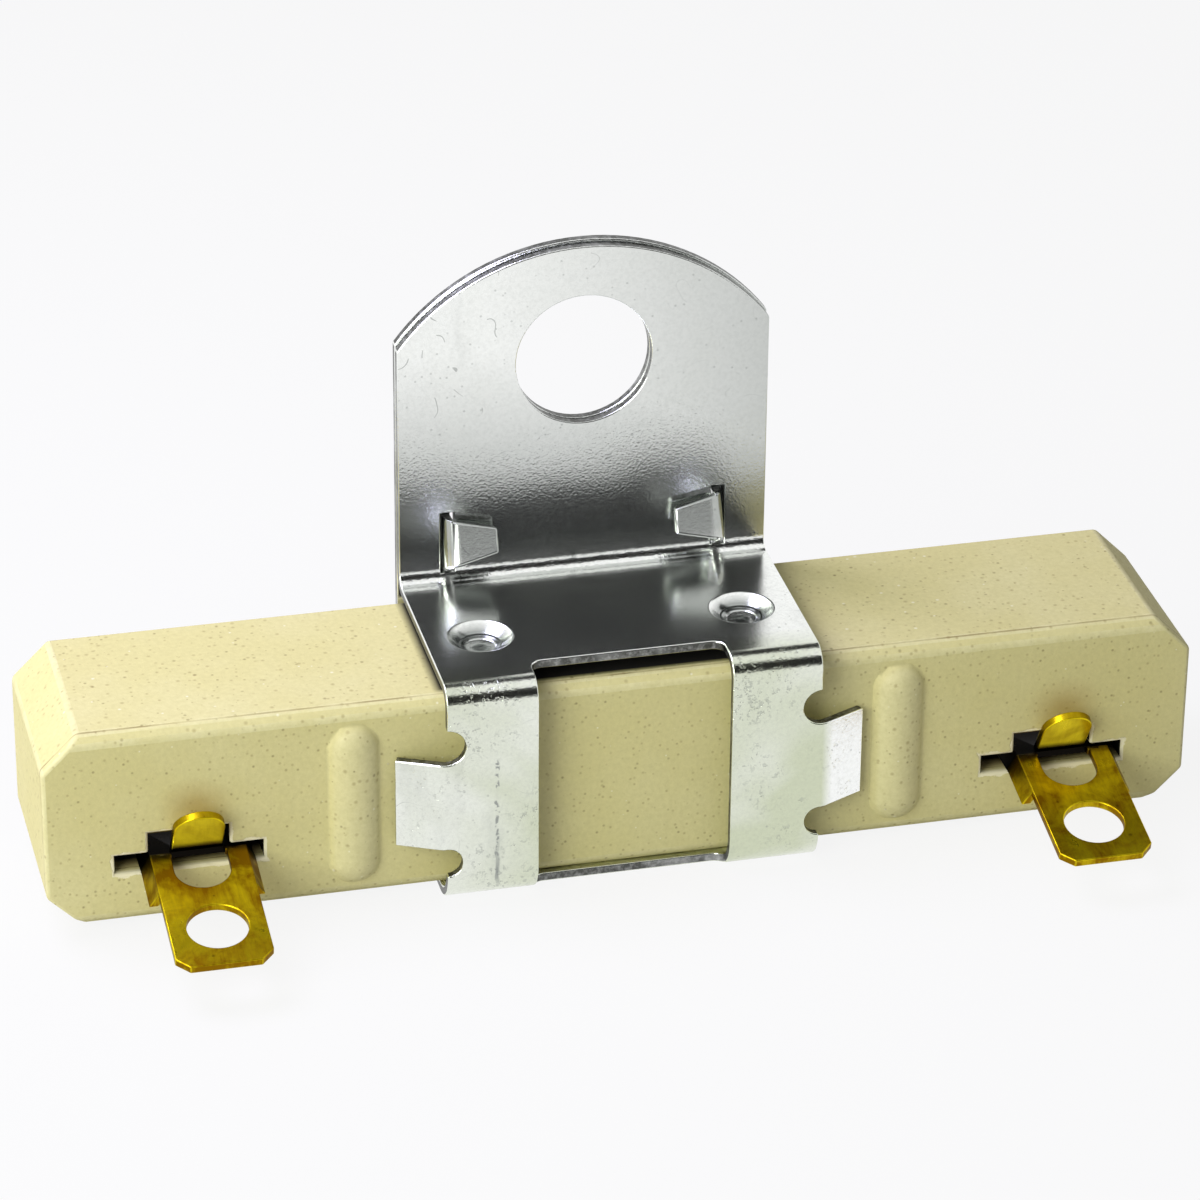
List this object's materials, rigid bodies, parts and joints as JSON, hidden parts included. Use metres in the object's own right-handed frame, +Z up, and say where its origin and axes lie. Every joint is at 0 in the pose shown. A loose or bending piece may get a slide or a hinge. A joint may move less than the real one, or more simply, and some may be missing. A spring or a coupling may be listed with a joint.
{
  "type": "ballast resistor",
  "caption": "Ceramic block resistor with brass screw terminals on its front, a wire coil in its open back and a folded steel strap with a bolt-on mounting ear.",
  "frame": {"origin": "middle of the strap's flat underside, below the middle of the block", "axes": "+X along the block, +Y toward the mounting face, so the terminals point to -Y, +Z up along the ear"},
  "size_m": [0.0984, 0.0324, 0.0508],
  "materials": {
    "ceramic": "matte, speckled ivory",
    "wire": "dull grey oxidised",
    "brass": "tarnished",
    "zinc_steel": "bright zinc plate"
  },
  "bodies": {
    "root": {"ceramic_body": "ceramic", "resistance_coil": "wire", "left_terminal": "brass", "right_terminal": "brass", "mounting_bracket": "zinc_steel"}
  },
  "joints": []
}
